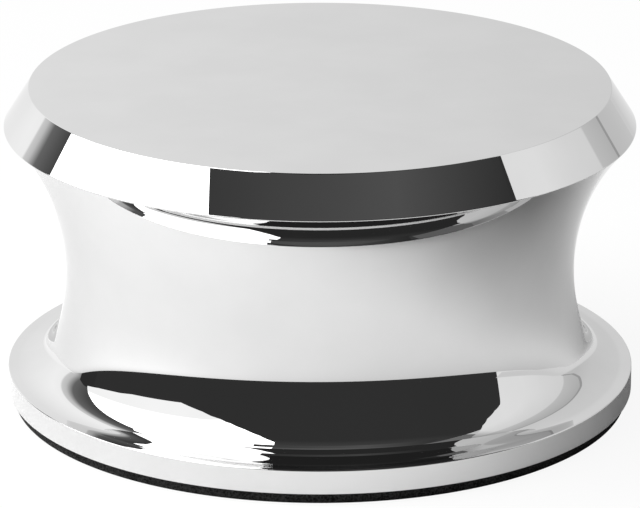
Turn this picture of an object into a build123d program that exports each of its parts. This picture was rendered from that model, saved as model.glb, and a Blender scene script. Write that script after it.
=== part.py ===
from build123d import *
import os
from math import radians, tan

# Record weight: a turned, mirror-plated weight that drops over a turntable's spindle and rests on the
# record's label with a thin pad. Millimetres, +Z up, origin in the middle of the pad's underside.

# Weight body, outside
body_diameter = 80.0         # widest edge of the head, and the base flange, before edges are broken
chamfer_width = 3.2          # the rim's chamfer, measured across
chamfer_height = 5.0         # the rim's chamfer, measured down from the top face
body_height = 39.9           # top face above the body's underside
neck_hollow = 5.15           # depth of the neck's arc below a straight line from rim to ledge
flange_edge_height = 3.1     # straight side of the base flange
ledge_width = 4.45           # from the flange's side in to where the neck would meet the ledge
base_fillet_radius = 5.0     # hollow between neck and ledge
edge_break = 0.15            # small flat on every turned edge, cut before plating

# Spindle bore in the underside
spindle_diameter = 7.15      # a turntable's centre pin
spindle_clearance = 0.125    # all round the pin
bore_depth = 22.0            # straight wall, lead-in included
bore_lead_in = 1.0           # chamfer at the bore's mouth
drill_point_angle = 118.0    # cone that the drill leaves at the blind end

# Pad glued under the flange
pad_thickness = 1.4
pad_inset = 0.7              # the pad's edge lies this far inside the flange's side
pad_hole_margin = 0.4        # the pad's hole clears the bore's lead-in by this much

# Radii and heights that follow from the sizes above
body_radius = body_diameter / 2
top_radius = body_radius - chamfer_width
neck_foot_radius = body_radius - ledge_width
bore_radius = spindle_diameter / 2 + spindle_clearance
bore_mouth_radius = bore_radius + bore_lead_in
drill_point_height = bore_radius / tan(radians(drill_point_angle / 2))
pad_radius = body_radius - pad_inset
pad_hole_radius = bore_mouth_radius + pad_hole_margin

underside_height = pad_thickness
ledge_height = underside_height + flange_edge_height
top_height = underside_height + body_height
rim_height = top_height - chamfer_height
lead_in_height = underside_height + bore_lead_in
bore_end_height = underside_height + bore_depth

# Corners of the half section, as radius and height
top_edge = (top_radius, top_height)
rim_edge = (body_radius, rim_height)
neck_foot = (neck_foot_radius, ledge_height)
flange_top_edge = (body_radius, ledge_height)
flange_bottom_edge = (body_radius, underside_height)

os.makedirs("parts", exist_ok=True)

# The weight is one solid of revolution: its half section is drawn once and spun about the axis
with BuildPart() as weight_body:
    with BuildSketch(Plane.XZ) as half_section:
        with BuildLine():
            Polyline((0, top_height), top_edge, rim_edge)
            SagittaArc(rim_edge, neck_foot, -neck_hollow)
            Polyline(neck_foot, flange_top_edge, flange_bottom_edge, (bore_mouth_radius, underside_height))
            Polyline(
                (bore_mouth_radius, underside_height),
                (bore_radius, lead_in_height),
                (bore_radius, bore_end_height),
                (0, bore_end_height + drill_point_height),
                (0, top_height),
            )
        make_face()
        fillet(half_section.vertices().sort_by_distance(neck_foot)[0], radius=base_fillet_radius)
        for edge_corner in (top_edge, rim_edge, flange_top_edge, flange_bottom_edge):
            chamfer(half_section.vertices().sort_by_distance(edge_corner)[0], length=edge_break)
    revolve(axis=Axis.Z)

# The pad is a flat ring cut from sheet, face to face with the body's underside
with BuildPart() as base_pad:
    with BuildSketch(Plane.XY):
        Circle(pad_radius)
        Circle(pad_hole_radius, mode=Mode.SUBTRACT)
    extrude(amount=pad_thickness)

weight_body.part.label = "weight_body"
export_step(weight_body.part, "parts/weight_body.step")

base_pad.part.label = "base_pad"
export_step(base_pad.part, "parts/base_pad.step")
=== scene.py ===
from math import acos, atan2, cos, pi, radians, sin, sqrt, tan

import bmesh
import bpy
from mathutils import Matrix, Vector


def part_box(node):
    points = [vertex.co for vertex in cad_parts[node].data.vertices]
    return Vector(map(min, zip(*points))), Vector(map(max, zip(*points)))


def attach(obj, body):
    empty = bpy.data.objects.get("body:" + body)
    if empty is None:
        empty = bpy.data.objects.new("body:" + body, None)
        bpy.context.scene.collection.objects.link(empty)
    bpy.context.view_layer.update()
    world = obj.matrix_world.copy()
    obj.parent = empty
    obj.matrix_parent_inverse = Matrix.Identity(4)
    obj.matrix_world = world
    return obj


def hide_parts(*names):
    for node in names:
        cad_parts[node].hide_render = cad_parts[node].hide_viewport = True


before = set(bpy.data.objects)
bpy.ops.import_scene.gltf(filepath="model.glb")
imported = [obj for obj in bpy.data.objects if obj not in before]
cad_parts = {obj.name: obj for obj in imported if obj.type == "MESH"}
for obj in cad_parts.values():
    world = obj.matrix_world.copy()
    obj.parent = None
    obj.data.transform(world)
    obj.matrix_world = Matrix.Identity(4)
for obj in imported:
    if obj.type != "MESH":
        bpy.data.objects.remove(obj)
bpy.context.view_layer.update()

# A mirror-plated record weight on a white table, lit by one large softbox from the left.
# Metres, +Z up, origin in the middle of the pad's underside. The camera stands on the -Y side.

MM = 0.001

# Outer sizes from the frame
body_low, body_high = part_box("weight_body")
_, pad_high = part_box("base_pad")
TOP_HEIGHT = body_high.z
UNDERSIDE_HEIGHT = body_low.z
FLANGE_RADIUS = body_high.x
PAD_RADIUS = pad_high.x

# Turned profile of the weight
RIM_RADIUS = FLANGE_RADIUS
CHAMFER_WIDTH = 3.2 * MM
CHAMFER_HEIGHT = 5.0 * MM
RIM_HEIGHT = TOP_HEIGHT - CHAMFER_HEIGHT
LEDGE_WIDTH = 4.45 * MM          # from the flange's side in to where the neck would meet the ledge
FLANGE_EDGE_HEIGHT = 3.1 * MM
LEDGE_HEIGHT = UNDERSIDE_HEIGHT + FLANGE_EDGE_HEIGHT
NECK_HOLLOW = 5.15 * MM          # depth of the neck's arc below a straight line from rim to ledge
BASE_FILLET_RADIUS = 5.0 * MM
EDGE_ROUNDING = 0.12 * MM
BORE_RADIUS = 3.7 * MM
BORE_LEAD_IN = 1.0 * MM
BORE_DEPTH = 22.0 * MM
DRILL_POINT_ANGLE = radians(118)
BORE_ROUNDING = 0.1 * MM

# Pad
PAD_HOLE_MARGIN = 0.4 * MM       # the pad's hole clears the bore's mouth by this much
PAD_HOLE_RADIUS = BORE_RADIUS + BORE_LEAD_IN + PAD_HOLE_MARGIN
PAD_ROUNDING = 0.12 * MM

# Fineness of the spun meshes
SPIN_SEGMENTS = 640
NECK_STEPS = 60
BASE_FILLET_STEPS = 20
ROUNDING_STEPS = 6
HOLDING_GAP = 0.03 * MM          # ring beside each rounding, which keeps the flats flat
SPIN_PATH_RADIUS = 10 * MM       # circle that carries the outline round the axis
POLE_MERGE = 0.001 * MM          # points closer together than this become one

# Plating: tints and roughness follow the smudges
SMUDGE_SIZE = 9 * MM             # faint patches of wear and handling
SMUDGE_DETAIL = 3
SMUDGE_TINTS = [(0.35, "d7d7d7"), (0.65, "dadada")]
SMUDGE_HAZE = {"From Min": 0.3, "From Max": 0.7, "To Min": 0.004, "To Max": 0.012}
GRAZING_TINT = "f2f2f2"

# Rubber: tints follow the grain and the mottle
RUBBER_GRAIN = 0.22 * MM         # coarser than the real grain, so that it shows
GRAIN_DETAIL = 2
GRAIN_HEIGHT = 0.035 * MM
GRAIN_STRENGTH = 0.6
RUBBER_MOTTLE = 3 * MM
MOTTLE_DETAIL = 1
MOTTLE_SHARE = 0.12
RUBBER_TINTS = [(0.38, "111111"), (0.62, "3a3a3a")]
RUBBER_ROUGHNESS = 0.7
RUBBER_GLOSS = 0.05

# Studio cards. Directions are degrees to the right of the camera's side, and degrees above the table.
# A turn is degrees to the right of straight behind the weight.
WHITE = "ffffff"
CARD_STEPS = 32
CARD_STRENGTH = 1.25             # above white, because chrome gives back about two thirds of the light

# The dark room in front, shaded by height, and a dark corner beside the softbox
ROOM_SPAN = ((-155, 205), (-30, 90))
ROOM_DISTANCE = 2.4
ROOM_SHADES = [(1.97, "323232"), (2.26, "404040"), (2.4, "646464")]
DARK_CORNER = [(-118.5, -12), (-118.5, 4), (-115.5, 9.5), (-112, 11), (-108, 11), (-108, -12)]
CORNER_DISTANCE = 1.68
CORNER_SHADE = "2e2e2e"

# The softbox on the left, brighter by height
SOFTBOX = [
    (-112.5, 8), (-104, 5), (-85, 6.5), (-60, 9), (-50, 12.5), (-42, 16), (-38, 19), (-33, 31), (-29, 45),
    (-27, 60), (-36, 70), (-134, 78), (-134, 56), (-129, 52), (-122, 51), (-114, 25)]
SOFTBOX_DISTANCE = 1.05
SOFTBOX_RISE = {"From Min": 0.36, "From Max": 0.46, "To Min": 1.3, "To Max": 3.4}

# The pale board on the right, shaded by turn and dimmer by height, and a grey strip behind its far edge that
# is painted shade for the gap there
PANEL_FRONT_EDGE = [
    (132, 60), (112, 59), (97, 53), (86.5, 45.5), (80, 34), (79, 21), (80.5, 10), (81, -12)]
PANEL_BACK_EDGE = [(112, -12), (118, -1), (128, 5), (133, 12), (137, 22), (139, 35), (139, 50)]
PANEL_DISTANCE = 1.3
PANEL_SHADES = [(42, "b6b6b6"), (58.5, "c6c6c6"), (59.5, "dcdcdc"), (74, "e2e2e2"), (86, "e9e9e9")]
PANEL_FALL = {"From Min": 1.17, "From Max": 1.33, "To Min": CARD_STRENGTH, "To Max": 0.45 * CARD_STRENGTH}
GAP_SHADE_WIDTH = 2.0                 # degrees
GAP_SHADE_DISTANCE = 1.4
GAP_SHADE_COLOUR = "a0a0a0"

# The backdrop behind, shaded by turn, with a piece overhead and a grey ceiling on the right
BACKDROP_SPAN = ((95, 247), (-6, 62))
OVERHEAD_SPAN = ((140, 200), (60, 84))
BACKDROP_DISTANCE = 1.75
BACKDROP_SHADES = [
    (-74, "4c4c4c"), (-63, "6a6a6a"), (-60, "a4a4a4"), (-57.5, "c8c8c8"), (-54, "d6d6d6"), (-52.5, "fdfdfd"),
    (-46, "ffffff"), (-16, "f0f0f0"), (0, "d6d6d6"), (30, "d0d0d0"), (45, "c6c6c6")]
FOLD_LEAN = 15                   # degrees to the right per metre of height
CEILING_SPAN = ((95, 138), (57, 72))
CEILING_DISTANCE = 1.6
CEILING_SHADE = "707070"

# The paper that runs from the table to the backdrop, shaded by turn and dimmer towards the right
SWEEP_ENDS = (80, 237)
SWEEP_NEAR = 0.075
SWEEP_FAR = 0.28
SWEEP_NEAR_TURN = 60             # degrees either side of straight behind, where the paper starts near
SWEEP_PARTING_TURN = 20          # degrees further on, where its start has moved far out
SWEEP_LIFT = Vector((0, 0, 1 * MM))
SWEEP_SHADES = [
    (-62, "ffffff"), (-42, "fcfcfc"), (-30, "f2f2f2"), (0, "d8d8d8"), (30, "dcdcdc"), (100, "dadada")]
SWEEP_FALL = {
    "From Min": 0.09, "From Max": 0.35, "To Min": 1.05 * CARD_STRENGTH, "To Max": 0.94 * CARD_STRENGTH}

# The flag close in front of the head, shaded from left to right
FLAG_LOW = (48.7 * MM, 44.1 * MM, -24.2, 44.9)      # radius, height, azimuths of its left and right end
FLAG_HIGH = (44.8 * MM, 49.7 * MM, -26.7, 45.7)
FLAG_SHADES = [(-21 * MM, "3c3c3c"), (0, "4a4a4a"), (14 * MM, "525252"), (34 * MM, "343434")]

# Lamps and fill
KEY_DIRECTION = (-80, 57)
KEY_DISTANCE = 2.0
KEY_SIZE = 2.0
KEY_WATTS = 46
TABLE_LAMP_PLACE = Vector((-0.20, -0.04, 0.21))
TABLE_LAMP_SIZE = 0.12
TABLE_LAMP_WATTS = 0.37
FILL_STRENGTH = 0.06

# Table
TABLE_CENTRE = Vector((-0.017, 0.078, 0))
TABLE_RADIUS = 0.318
TABLE_SEGMENTS = 96
TABLE_PAINT = "fafafa"
TABLE_BURNT_OUT = 0.92           # share of plain white that the camera sees
TABLE_MIRRORED_WHITE = 0.1       # share of plain white that the metal sees

# Camera
SENSOR_WIDTH = 36                # millimetres, as the lens below
FOCAL_LENGTH = 276.2
CAMERA_PLACE = (0, -0.5932, 0.2223)
CAMERA_TILT = radians(18.96)     # down from level
CAMERA_REACH = 20


# Helpers

def between(first, last, steps):
    """Evenly spaced values, both ends included."""
    return [first + (last - first) * step / steps for step in range(steps + 1)]


def linear(hex_colour):
    """An sRGB hex colour as linear red, green, blue and alpha."""
    shares = [int(hex_colour[place:place + 2], 16) / 255 for place in (0, 2, 4)]
    return [s / 12.92 if s <= 0.04045 else ((s + 0.055) / 1.055) ** 2.4 for s in shares] + [1.0]


def add(tree, kind, inputs=None, **settings):
    """Adds a node; settings are its properties, inputs are plain values or the sockets to link."""
    node = tree.nodes.new(kind)
    for name, value in settings.items():
        setattr(node, name, value)
    for name, value in (inputs or {}).items():
        if isinstance(value, bpy.types.NodeSocket):
            tree.links.new(value, node.inputs[name])
        else:
            node.inputs[name].default_value = value
    return node


def link_object(name, data):
    """A new object at the origin, in the scene."""
    made = bpy.data.objects.new(name, data)
    bpy.context.scene.collection.objects.link(made)
    return made


# Outlines, as lists of radius and height

def arc_points(centre, radius, start, end, steps):
    """Points of an arc from one angle to another, both ends included."""
    return [centre + radius * Vector((cos(angle), sin(angle))) for angle in between(start, end, steps)]


def angle_about(centre, point):
    """Direction of a point as seen from a centre, from 0 to a full turn."""
    return atan2(point.y - centre.y, point.x - centre.x) % (2 * pi)


def neck_stations():
    """The neck's single arc from rim to ledge, run into the ledge by the base fillet."""
    rim = Vector((RIM_RADIUS, RIM_HEIGHT))
    foot = Vector((FLANGE_RADIUS - LEDGE_WIDTH, LEDGE_HEIGHT))
    half_chord = (rim - foot).length / 2
    neck_radius = (half_chord ** 2 + NECK_HOLLOW ** 2) / (2 * NECK_HOLLOW)
    along = (rim - foot).normalized()
    outward = Vector((along.y, -along.x))
    neck_centre = (rim + foot) / 2 + outward * (neck_radius - NECK_HOLLOW)
    fillet_height = LEDGE_HEIGHT + BASE_FILLET_RADIUS
    reach = neck_radius - BASE_FILLET_RADIUS
    inset = sqrt(reach ** 2 - (neck_centre.y - fillet_height) ** 2)
    fillet_centre = Vector((neck_centre.x - inset, fillet_height))
    meeting = angle_about(neck_centre, fillet_centre)
    neck = arc_points(neck_centre, neck_radius, angle_about(neck_centre, rim), meeting, NECK_STEPS)
    fillet = arc_points(fillet_centre, BASE_FILLET_RADIUS, meeting, 1.5 * pi, BASE_FILLET_STEPS)
    return neck[1:] + fillet[1:]


def rounded(stations):
    """An outline with its corners rounded; stations are points, each with its corner's rounding."""
    outline = []
    for index, (corner, rounding) in enumerate(stations):
        if rounding == 0:
            outline.append(corner)
            continue
        back = (stations[index - 1][0] - corner).normalized()
        onward = (stations[index + 1][0] - corner).normalized()
        half_angle = acos(back.dot(onward)) / 2
        setback = rounding / tan(half_angle)
        centre = corner + (back + onward).normalized() * rounding / sin(half_angle)
        start = angle_about(centre, corner + back * setback)
        end = angle_about(centre, corner + onward * setback)
        turn = (end - start + pi) % (2 * pi) - pi
        outline.append(corner + back * (setback + HOLDING_GAP))
        outline += arc_points(centre, rounding, start, start + turn, ROUNDING_STEPS)
        outline.append(corner + onward * (setback + HOLDING_GAP))
    return outline


def weight_outline():
    """Half section of the weight, from the middle of the top face round to the end of the bore."""
    bore_end = UNDERSIDE_HEIGHT + BORE_DEPTH
    stations = [
        (Vector((0, TOP_HEIGHT)), 0),
        (Vector((RIM_RADIUS - CHAMFER_WIDTH, TOP_HEIGHT)), EDGE_ROUNDING),
        (Vector((RIM_RADIUS, RIM_HEIGHT)), EDGE_ROUNDING),
    ]
    stations += [(point, 0) for point in neck_stations()]
    stations += [
        (Vector((FLANGE_RADIUS, LEDGE_HEIGHT)), EDGE_ROUNDING),
        (Vector((FLANGE_RADIUS, UNDERSIDE_HEIGHT)), EDGE_ROUNDING),
        (Vector((BORE_RADIUS + BORE_LEAD_IN, UNDERSIDE_HEIGHT)), BORE_ROUNDING),
        (Vector((BORE_RADIUS, UNDERSIDE_HEIGHT + BORE_LEAD_IN)), BORE_ROUNDING),
        (Vector((BORE_RADIUS, bore_end)), BORE_ROUNDING),
        (Vector((0, bore_end + BORE_RADIUS / tan(DRILL_POINT_ANGLE / 2))), 0),
    ]
    return rounded(stations)


def pad_outline():
    """Section of the pad's ring, closed on itself in the middle of its upper face."""
    top = UNDERSIDE_HEIGHT
    middle = (PAD_RADIUS + PAD_HOLE_RADIUS) / 2
    return rounded([
        (Vector((middle, top)), 0),
        (Vector((PAD_RADIUS, top)), PAD_ROUNDING),
        (Vector((PAD_RADIUS, 0)), PAD_ROUNDING),
        (Vector((PAD_HOLE_RADIUS, 0)), PAD_ROUNDING),
        (Vector((PAD_HOLE_RADIUS, top)), PAD_ROUNDING),
        (Vector((middle, top)), 0),
    ])


# Spinning an outline into a closed mesh

def spin_tree():
    """Geometry Nodes: sweeps an outline round the spindle axis and closes its poles."""
    tree = bpy.data.node_groups.new("spun_on_the_lathe", "GeometryNodeTree")
    sockets = [
        ("Outline", "INPUT", "NodeSocketGeometry"),
        ("Segments", "INPUT", "NodeSocketInt"),
        ("Path Radius", "INPUT", "NodeSocketFloat"),
        ("Pole Merge", "INPUT", "NodeSocketFloat"),
        ("Finish", "INPUT", "NodeSocketMaterial"),
        ("Piece", "OUTPUT", "NodeSocketGeometry"),
    ]
    for name, side, kind in sockets:
        tree.interface.new_socket(name, in_out=side, socket_type=kind)
    given = add(tree, "NodeGroupInput").outputs
    circle = add(tree, "GeometryNodeCurvePrimitiveCircle", {
        "Resolution": given["Segments"], "Radius": given["Path Radius"]})
    path = add(tree, "GeometryNodeSetCurveNormal", {"Curve": circle.outputs["Curve"]}, mode="Z_UP")
    swept = add(tree, "GeometryNodeCurveToMesh", {
        "Curve": path.outputs["Curve"], "Profile Curve": given["Outline"]})
    closed = add(tree, "GeometryNodeMergeByDistance", {
        "Geometry": swept.outputs["Mesh"], "Distance": given["Pole Merge"]})
    smooth = add(tree, "GeometryNodeSetShadeSmooth", {"Geometry": closed.outputs["Geometry"]})
    real = add(tree, "GeometryNodeRealizeInstances", {"Geometry": smooth.outputs["Geometry"]})
    finished = add(tree, "GeometryNodeSetMaterial", {
        "Geometry": real.outputs["Geometry"], "Material": given["Finish"]})
    add(tree, "NodeGroupOutput", {"Piece": finished.outputs["Geometry"]})
    return tree


def spin(name, outline, tree, finish):
    """One closed piece, spun from its outline and made a plain mesh."""
    curve = bpy.data.curves.new(name + "_outline", "CURVE")
    spline = curve.splines.new("POLY")
    spline.points.add(len(outline) - 1)
    for point, station in zip(spline.points, outline):
        point.co = (station.x - SPIN_PATH_RADIUS, -station.y, 0, 1)
    holder = link_object(name + "_outline", curve)
    modifier = holder.modifiers.new("spin", "NODES")
    modifier.node_group = tree
    given = {
        "Segments": SPIN_SEGMENTS, "Path Radius": SPIN_PATH_RADIUS,
        "Pole Merge": POLE_MERGE, "Finish": finish}
    for item in tree.interface.items_tree:
        if item.name in given:
            modifier[item.identifier] = given[item.name]
    graph = bpy.context.evaluated_depsgraph_get()
    mesh = bpy.data.meshes.new_from_object(
        holder.evaluated_get(graph), preserve_all_data_layers=True, depsgraph=graph)
    bpy.data.objects.remove(holder)
    mesh.name = name
    shape = bmesh.new()
    shape.from_mesh(mesh)
    bmesh.ops.remove_doubles(shape, verts=shape.verts, dist=POLE_MERGE)
    bmesh.ops.recalc_face_normals(shape, faces=shape.faces)
    shape.to_mesh(mesh)
    shape.free()
    return link_object(name, mesh)


# Parts of materials

def new_material(name):
    """An empty node material and its tree; its own glow is never sampled as a lamp."""
    material = bpy.data.materials.new(name)
    material.use_nodes = True
    material.cycles.emission_sampling = "NONE"
    material.node_tree.nodes.clear()
    return material, material.node_tree


def noise(tree, size, detail):
    """Noise in the piece's own coordinates, with patches of about the given size."""
    place = add(tree, "ShaderNodeTexCoord")
    patches = add(tree, "ShaderNodeTexNoise", {
        "Vector": place.outputs["Object"], "Scale": 1 / size, "Detail": detail})
    return patches.outputs["Fac"]


def graded(tree, value, stops):
    """Colour graded along a value; stops are values in rising order, each with its sRGB hex colour."""
    first, last = stops[0][0], stops[-1][0]
    share = add(tree, "ShaderNodeMapRange", {"Value": value, "From Min": first, "From Max": last})
    ramp = add(tree, "ShaderNodeValToRGB", {"Fac": share.outputs["Result"]})
    marks = ramp.color_ramp.elements
    for _ in stops[2:]:
        marks.new(0.5)
    for mark, (place, hex_colour) in zip(marks, stops):
        mark.position = (place - first) / (last - first)
        mark.color = linear(hex_colour)
    return ramp.outputs["Color"]


def own_axes(tree):
    """The card's own X, Y and Z."""
    place = add(tree, "ShaderNodeTexCoord")
    return add(tree, "ShaderNodeSeparateXYZ", {"Vector": place.outputs["Object"]}).outputs


def turn_from_back(tree, axes):
    """Degrees to the right of the point straight behind the weight."""
    turn = add(tree, "ShaderNodeMath", {0: axes["X"], 1: axes["Y"]}, operation="ARCTAN2")
    return add(tree, "ShaderNodeMath", {0: turn.outputs["Value"]}, operation="DEGREES").outputs["Value"]


def shine(tree, colour, strength):
    """Ends a tree with plain light of a colour."""
    light = add(tree, "ShaderNodeEmission", {"Color": colour, "Strength": strength})
    add(tree, "ShaderNodeOutputMaterial", {"Surface": light.outputs["Emission"]})


def mirrored_or_clear(tree, ray):
    """One for a ray that comes off a mirror or through something clear, and nought for any other."""
    larger = add(tree, "ShaderNodeMath", {0: ray["Is Glossy Ray"], 1: ray["Is Transmission Ray"]},
                 operation="MAXIMUM")
    return larger.outputs["Value"]


# Finishes of the weight

def bright_plated_metal():
    """Bright chrome plating on a turned body: a clear mirror, very slightly hazed in patches by handling."""
    material, tree = new_material("bright_chrome_plating")
    smudges = noise(tree, SMUDGE_SIZE, SMUDGE_DETAIL)
    haze = add(tree, "ShaderNodeMapRange", {"Value": smudges, **SMUDGE_HAZE})
    surface = add(tree, "ShaderNodeBsdfPrincipled", {
        "Base Color": graded(tree, smudges, SMUDGE_TINTS), "Metallic": 1.0,
        "Roughness": haze.outputs["Result"], "Specular Tint": linear(GRAZING_TINT)})
    add(tree, "ShaderNodeOutputMaterial", {"Surface": surface.outputs["BSDF"]})
    return material


def sheet_rubber():
    """Black sheet rubber, die cut: matt and dusty, with a fine grain that catches the light in specks."""
    material, tree = new_material("black_sheet_rubber")
    grain = noise(tree, RUBBER_GRAIN, GRAIN_DETAIL)
    mottle = noise(tree, RUBBER_MOTTLE, MOTTLE_DETAIL)
    both = add(tree, "ShaderNodeMix", {"Factor": MOTTLE_SHARE, 2: grain, 3: mottle})
    relief = add(tree, "ShaderNodeBump", {
        "Height": grain, "Distance": GRAIN_HEIGHT, "Strength": GRAIN_STRENGTH})
    surface = add(tree, "ShaderNodeBsdfPrincipled", {
        "Base Color": graded(tree, both.outputs["Result"], RUBBER_TINTS), "Roughness": RUBBER_ROUGHNESS,
        "Specular IOR Level": RUBBER_GLOSS, "Normal": relief.outputs["Normal"]})
    add(tree, "ShaderNodeOutputMaterial", {"Surface": surface.outputs["BSDF"]})
    return material


# Finishes of the studio

def glow(name, hex_colour):
    """A card of one plain shade."""
    material, tree = new_material(name)
    shine(tree, linear(hex_colour), CARD_STRENGTH)
    return material


def room_shade():
    """The dark room in front, whose ceiling catches a little light."""
    material, tree = new_material("room_shade")
    shine(tree, graded(tree, own_axes(tree)["Z"], ROOM_SHADES), CARD_STRENGTH)
    return material


def softbox_cloth():
    """White cloth of the softbox, dimmer along its lower edge, so a face that mirrors it keeps its rim."""
    material, tree = new_material("softbox_cloth")
    rise = add(tree, "ShaderNodeMapRange", {"Value": own_axes(tree)["Z"], **SOFTBOX_RISE})
    shine(tree, linear(WHITE), rise.outputs["Result"])
    return material


def panel_board():
    """Pale board on the right, darker towards its top and with a shaded part at its far end."""
    material, tree = new_material("panel_board")
    axes = own_axes(tree)
    fall = add(tree, "ShaderNodeMapRange", {"Value": axes["Z"], **PANEL_FALL})
    shine(tree, graded(tree, turn_from_back(tree, axes), PANEL_SHADES), fall.outputs["Result"])
    return material


def backdrop_paper():
    """Pale paper behind the weight: brightest on the lamp's side, with a leaning shaded fold beside it."""
    material, tree = new_material("backdrop_paper")
    axes = own_axes(tree)
    leaning = add(tree, "ShaderNodeMath", {0: axes["Z"], 1: -FOLD_LEAN, 2: turn_from_back(tree, axes)},
                  operation="MULTIPLY_ADD")
    shine(tree, graded(tree, leaning.outputs["Value"], BACKDROP_SHADES), CARD_STRENGTH)
    return material


def sweep_paper():
    """The paper lying on the table behind the weight, a little darker far out on the right."""
    material, tree = new_material("sweep_paper")
    axes = own_axes(tree)
    fall = add(tree, "ShaderNodeMapRange", {"Value": axes["X"], **SWEEP_FALL})
    shine(tree, graded(tree, turn_from_back(tree, axes), SWEEP_SHADES), fall.outputs["Result"])
    return material


def flag_cloth():
    """Grey cloth close in front of the head: it keeps the chamfer's front dark, palest in its middle."""
    material, tree = new_material("flag_cloth")
    shine(tree, graded(tree, own_axes(tree)["X"], FLAG_SHADES), CARD_STRENGTH)
    return material


def table_finish():
    """White table: nearly burnt out to the camera, with the weight's shadow kept, and as lit to the metal."""
    material, tree = new_material("white_table")
    ray = add(tree, "ShaderNodeLightPath").outputs
    mirrored = add(tree, "ShaderNodeMath", {
        0: mirrored_or_clear(tree, ray), 1: TABLE_MIRRORED_WHITE}, operation="MULTIPLY")
    share = add(tree, "ShaderNodeMath", {
        0: ray["Is Camera Ray"], 1: TABLE_BURNT_OUT, 2: mirrored.outputs["Value"]}, operation="MULTIPLY_ADD")
    paint = add(tree, "ShaderNodeBsdfDiffuse", {"Color": linear(TABLE_PAINT)})
    white = add(tree, "ShaderNodeEmission", {"Color": linear(WHITE), "Strength": 1.0})
    both = add(tree, "ShaderNodeMixShader", {
        "Fac": share.outputs["Value"], 1: paint.outputs["BSDF"], 2: white.outputs["Emission"]})
    add(tree, "ShaderNodeOutputMaterial", {"Surface": both.outputs["Shader"]})
    return material


# Studio

def direction(azimuth, elevation):
    """Unit vector towards a direction."""
    a, e = radians(azimuth), radians(elevation)
    return Vector((sin(a) * cos(e), -cos(a) * cos(e), sin(e)))


def stage_mesh(name, places, faces, finish):
    """A mesh that belongs to the studio."""
    mesh = bpy.data.meshes.new(name)
    mesh.from_pydata(places, [], faces)
    mesh.materials.append(finish)
    made = link_object(name, mesh)
    return made


def mirror_only(card):
    """Leaves a card in the mirror alone: no camera sees it, and it neither lights nor shades the table."""
    card.visible_camera = False
    card.visible_diffuse = False
    card.visible_shadow = False


def flat_card(name, corners, distance, finish):
    """A flat card that faces the weight, with its corners in the given directions."""
    facing = sum((direction(*corner) for corner in corners), Vector()).normalized()
    places = [direction(*corner) * distance / direction(*corner).dot(facing) for corner in corners]
    mirror_only(stage_mesh(name, places, [list(range(len(places)))], finish))


def grid_card(name, rows, finish):
    """A bent card through rows of places, all rows of the same length."""
    across = len(rows[0])
    faces = []
    for row in range(len(rows) - 1):
        for column in range(across - 1):
            start = row * across + column
            faces.append((start, start + 1, start + across + 1, start + across))
    mirror_only(stage_mesh(name, sum(rows, []), faces, finish))


def curved_card(name, span, distance, finish):
    """A card bent round the weight; its span is two azimuths and two elevations."""
    azimuths, elevations = span
    rows = []
    for elevation in between(*elevations, CARD_STEPS):
        rows.append([direction(azimuth, elevation) * distance for azimuth in between(*azimuths, CARD_STEPS)])
    grid_card(name, rows, finish)


def sweep_start(azimuth):
    """Where the paper starts: close behind the weight, and further out beside it."""
    share = min(max((abs(azimuth - 180) - SWEEP_NEAR_TURN) / SWEEP_PARTING_TURN, 0), 1)
    return SWEEP_NEAR + (SWEEP_FAR - SWEEP_NEAR) * share


def make_sweep():
    """The paper that runs from the table up to the backdrop, so that the mirror shows no edge there."""
    azimuths = between(*SWEEP_ENDS, CARD_STEPS)
    near = [direction(azimuth, 0) * sweep_start(azimuth) + SWEEP_LIFT for azimuth in azimuths]
    far = [direction(azimuth, 0) * BACKDROP_DISTANCE + SWEEP_LIFT for azimuth in azimuths]
    grid_card("paper_sweep", [near, far], sweep_paper())


def make_flag():
    """The flag in front of the head, which only the mirror sees."""
    rows = []
    for radius, height, left, right in (FLAG_LOW, FLAG_HIGH):
        azimuths = between(left, right, CARD_STEPS)
        rows.append([direction(azimuth, 0) * radius + Vector((0, 0, height)) for azimuth in azimuths])
    grid_card("flag", rows, flag_cloth())


def make_cards():
    """What the mirror shows all round the weight, apart from the table."""
    curved_card("dark_room", ROOM_SPAN, ROOM_DISTANCE, room_shade())
    flat_card("dark_corner", DARK_CORNER, CORNER_DISTANCE, glow("dark_corner", CORNER_SHADE))
    flat_card("softbox", SOFTBOX, SOFTBOX_DISTANCE, softbox_cloth())
    flat_card("side_panel", PANEL_FRONT_EDGE + PANEL_BACK_EDGE, PANEL_DISTANCE, panel_board())
    # A grey strip along the board's far edge: painted shade for the gap between the board and the backdrop
    beside = [(azimuth + GAP_SHADE_WIDTH, elevation) for azimuth, elevation in PANEL_BACK_EDGE]
    flat_card("panel_gap_shade", PANEL_BACK_EDGE + beside[::-1], GAP_SHADE_DISTANCE, glow("panel_gap_shade", GAP_SHADE_COLOUR))
    paper = backdrop_paper()
    curved_card("backdrop", BACKDROP_SPAN, BACKDROP_DISTANCE, paper)
    curved_card("backdrop_overhead", OVERHEAD_SPAN, BACKDROP_DISTANCE, paper)
    curved_card("ceiling", CEILING_SPAN, CEILING_DISTANCE, glow("ceiling", CEILING_SHADE))
    make_sweep()
    make_flag()


def make_lamp(name, place, size, watts):
    """A soft lamp that shines at the weight's foot and never shows in the metal."""
    lamp = bpy.data.lights.new(name, "AREA")
    lamp.size = size
    lamp.energy = watts
    made = link_object(name, lamp)
    made.location = place
    made.rotation_euler = place.to_track_quat("Z", "Y").to_euler()
    made.visible_glossy = False
    made.visible_camera = False


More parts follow.
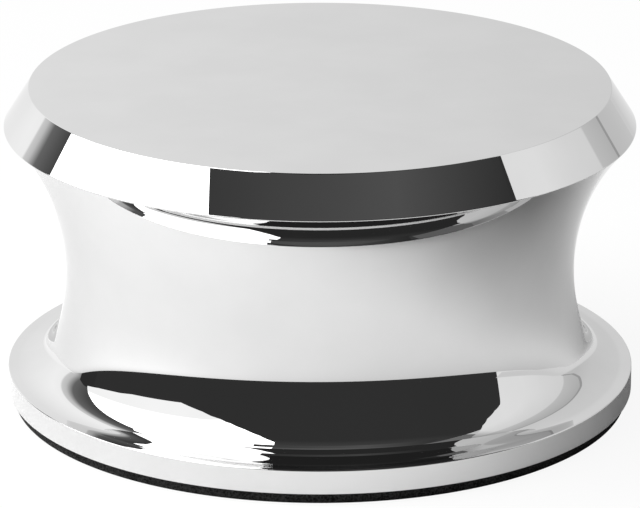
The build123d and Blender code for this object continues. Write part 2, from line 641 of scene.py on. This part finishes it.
def make_lamps():
    """The large key lamp on the left, and a small one close by that brightens the table on that side."""
    make_lamp("key_lamp", direction(*KEY_DIRECTION) * KEY_DISTANCE, KEY_SIZE, KEY_WATTS)
    make_lamp("table_lamp", TABLE_LAMP_PLACE, TABLE_LAMP_SIZE, TABLE_LAMP_WATTS)


def make_table():
    """The round table top, whose front edge lies between the weight and the dark room."""
    azimuths = between(0, 360, TABLE_SEGMENTS)[1:]
    places = [TABLE_CENTRE + direction(azimuth, 0) * TABLE_RADIUS for azimuth in azimuths]
    stage_mesh("table", places, [list(range(len(places)))], table_finish())


def make_world():
    """White to the camera, the metal and anything clear; a soft grey fill to everything else."""
    world = bpy.data.worlds.new("studio")
    world.use_nodes = True
    tree = world.node_tree
    tree.nodes.clear()
    ray = add(tree, "ShaderNodeLightPath").outputs
    shown = add(tree, "ShaderNodeMath", {0: ray["Is Camera Ray"], 1: mirrored_or_clear(tree, ray)},
                operation="MAXIMUM")
    fill = add(tree, "ShaderNodeBackground", {"Color": linear(WHITE), "Strength": FILL_STRENGTH})
    white = add(tree, "ShaderNodeBackground", {"Color": linear(WHITE), "Strength": 1.0})
    both = add(tree, "ShaderNodeMixShader", {
        "Fac": shown.outputs["Value"], 1: fill.outputs["Background"], 2: white.outputs["Background"]})
    add(tree, "ShaderNodeOutputWorld", {"Surface": both.outputs["Shader"]})
    bpy.context.scene.world = world


def make_camera():
    """The photograph's view: a long lens, in front and a little above, tilted down at the weight."""
    lens = bpy.data.cameras.new("camera")
    lens.sensor_width = SENSOR_WIDTH
    lens.lens = FOCAL_LENGTH
    lens.clip_end = CAMERA_REACH
    camera = link_object("camera", lens)
    camera.location = CAMERA_PLACE
    camera.rotation_euler = (pi / 2 - CAMERA_TILT, 0, 0)
    bpy.context.scene.camera = camera


def main():
    """Makes the weight, its pad and the studio."""
    bpy.context.scene.view_settings.view_transform = "Standard"
    tree = spin_tree()
    weight = spin("turned_weight", weight_outline(), tree, bright_plated_metal())
    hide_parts("weight_body")
    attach(weight, "root")
    pad = spin("rubber_pad", pad_outline(), tree, sheet_rubber())
    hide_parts("base_pad")
    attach(pad, "root")
    make_table()
    make_world()
    make_cards()
    make_lamps()
    make_camera()


main()
